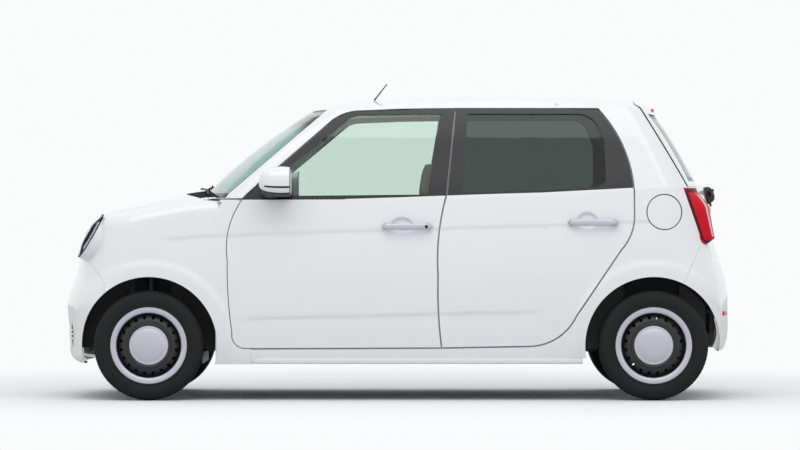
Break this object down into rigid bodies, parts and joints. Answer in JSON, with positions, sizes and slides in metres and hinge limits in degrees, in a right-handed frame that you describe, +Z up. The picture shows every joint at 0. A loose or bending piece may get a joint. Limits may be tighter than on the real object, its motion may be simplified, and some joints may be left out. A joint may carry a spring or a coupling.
{
  "type": "kei car",
  "caption": "Small five-door hatchback kei car with round lamps, steel wheels, opening doors, bonnet and tailgate, and turning, steered wheels.",
  "frame": {"origin": "on the ground below the middle of the car's bounding box", "axes": "+X towards the tail, along the car's length; +Y towards the car's right side; +Z up"},
  "size_m": [3.3947, 1.7714, 1.5836],
  "materials": {
    "paint": "pearl white gloss",
    "dark_metal": "satin black",
    "wheel_steel": "gloss black with bright ring and cap",
    "glass": "light green",
    "privacy_glass": "dark privacy",
    "screen_glass": "light green laminated",
    "lamp": "clear lens",
    "tail_lamp": "red lens",
    "black_plastic": "fine grain",
    "tyre": "rubber",
    "fabric": "woven",
    "dash": "soft grain",
    "cast": "as cast",
    "alloy": "cast",
    "underbody": "matt underseal",
    "exhaust": "dull"
  },
  "bodies": {
    "body": {"body_side_left": "paint", "body_side_right": "paint", "wing_left": "paint", "wing_right": "paint", "front_bumper": "paint", "rear_bumper": "paint", "grille": "black_plastic", "headlamps": "lamp", "tail_lamps": "tail_lamp", "roof_panel": "paint", "windscreen": "screen_glass", "cowl_panel": "black_plastic", "wipers": "black_plastic", "aerial": "black_plastic", "floor_pan": "underbody", "arch_liners": "black_plastic", "front_structure": "underbody", "front_seats": "fabric", "rear_seat": "fabric", "dashboard": "dash", "engine": "alloy", "front_suspension": "dark_metal", "rear_axle": "dark_metal", "exhaust": "exhaust", "fuel_tank": "black_plastic"},
    "bonnet": {"bonnet": "paint"},
    "tailgate": {"tailgate": "paint", "tailgate_glass": "privacy_glass", "rear_wiper": "black_plastic"},
    "fuel_lid": {"fuel_lid": "paint"},
    "steering_wheel": {"steering_wheel": "black_plastic"},
    "front_door_left": {"front_door_left": "paint", "front_door_glass_left": "glass", "mirror_left": "paint"},
    "rear_door_left": {"rear_door_left": "paint", "rear_door_glass_left": "privacy_glass"},
    "knuckle_left": {"knuckle_left": "cast"},
    "front_wheel_left": {"front_tyre_left": "tyre", "front_wheel_left": "wheel_steel"},
    "rear_wheel_left": {"rear_tyre_left": "tyre", "rear_wheel_left": "wheel_steel"},
    "front_door_right": {"front_door_right": "paint", "front_door_glass_right": "glass", "mirror_right": "paint"},
    "rear_door_right": {"rear_door_right": "paint", "rear_door_glass_right": "privacy_glass"},
    "knuckle_right": {"knuckle_right": "cast"},
    "front_wheel_right": {"front_tyre_right": "tyre", "front_wheel_right": "wheel_steel"},
    "rear_wheel_right": {"rear_tyre_right": "tyre", "rear_wheel_right": "wheel_steel"}
  },
  "joints": [
    {"name": "front_door_left_hinge", "type": "hinge", "parent": "body", "child": "front_door_left", "pos_m": [-0.8405, -0.734, 0.65], "axis": [0, 0.061, 0.9981], "range_deg": [-70, 0]},
    {"name": "rear_door_left_hinge", "type": "hinge", "parent": "body", "child": "rear_door_left", "pos_m": [0.19, -0.738, 0.65], "axis": [0, 0.061, 0.9981], "range_deg": [-68, 0]},
    {"name": "front_door_right_hinge", "type": "hinge", "parent": "body", "child": "front_door_right", "pos_m": [-0.8405, 0.734, 0.65], "axis": [0, -0.061, 0.9981], "range_deg": [0, 70]},
    {"name": "rear_door_right_hinge", "type": "hinge", "parent": "body", "child": "rear_door_right", "pos_m": [0.19, 0.738, 0.65], "axis": [0, -0.061, 0.9981], "range_deg": [0, 68]},
    {"name": "bonnet_hinge", "type": "hinge", "parent": "body", "child": "bonnet", "pos_m": [-0.94, 0, 1.01], "axis": [0, 1, 0], "range_deg": [0, 50]},
    {"name": "tailgate_hinge", "type": "hinge", "parent": "body", "child": "tailgate", "pos_m": [1.208, 0, 1.505], "axis": [0, 1, 0], "range_deg": [-78, 0]},
    {"name": "fuel_lid_hinge", "type": "hinge", "parent": "body", "child": "fuel_lid", "pos_m": [1.254, -0.71, 0.941], "axis": [0, 0, 1], "range_deg": [-85, 0]},
    {"name": "steering", "type": "hinge", "parent": "body", "child": "steering_wheel", "pos_m": [-0.56, 0.345, 0.88], "axis": [0.8988, 0, 0.4384], "range_deg": [-540, 540]},
    {"name": "knuckle_left_pivot", "type": "hinge", "parent": "body", "child": "knuckle_left", "pos_m": [-1.243, -0.59, 0.275], "axis": [0, 0, 1], "range_deg": [-34, 34]},
    {"name": "knuckle_right_pivot", "type": "hinge", "parent": "body", "child": "knuckle_right", "pos_m": [-1.243, 0.59, 0.275], "axis": [0, 0, 1], "range_deg": [-34, 34]},
    {"name": "front_wheel_left_spin", "type": "hinge", "parent": "knuckle_left", "child": "front_wheel_left", "pos_m": [-1.243, -0.645, 0.275], "axis": [0, 1, 0], "continuous": true},
    {"name": "rear_wheel_left_spin", "type": "hinge", "parent": "body", "child": "rear_wheel_left", "pos_m": [1.277, -0.645, 0.275], "axis": [0, 1, 0], "continuous": true},
    {"name": "front_wheel_right_spin", "type": "hinge", "parent": "knuckle_right", "child": "front_wheel_right", "pos_m": [-1.243, 0.645, 0.275], "axis": [0, 1, 0], "continuous": true},
    {"name": "rear_wheel_right_spin", "type": "hinge", "parent": "body", "child": "rear_wheel_right", "pos_m": [1.277, 0.645, 0.275], "axis": [0, 1, 0], "continuous": true}
  ],
  "couplings": [
    {"joint": "knuckle_left_pivot", "follows": "steering", "ratio": 0.061111},
    {"joint": "knuckle_right_pivot", "follows": "steering", "ratio": 0.061111}
  ]
}
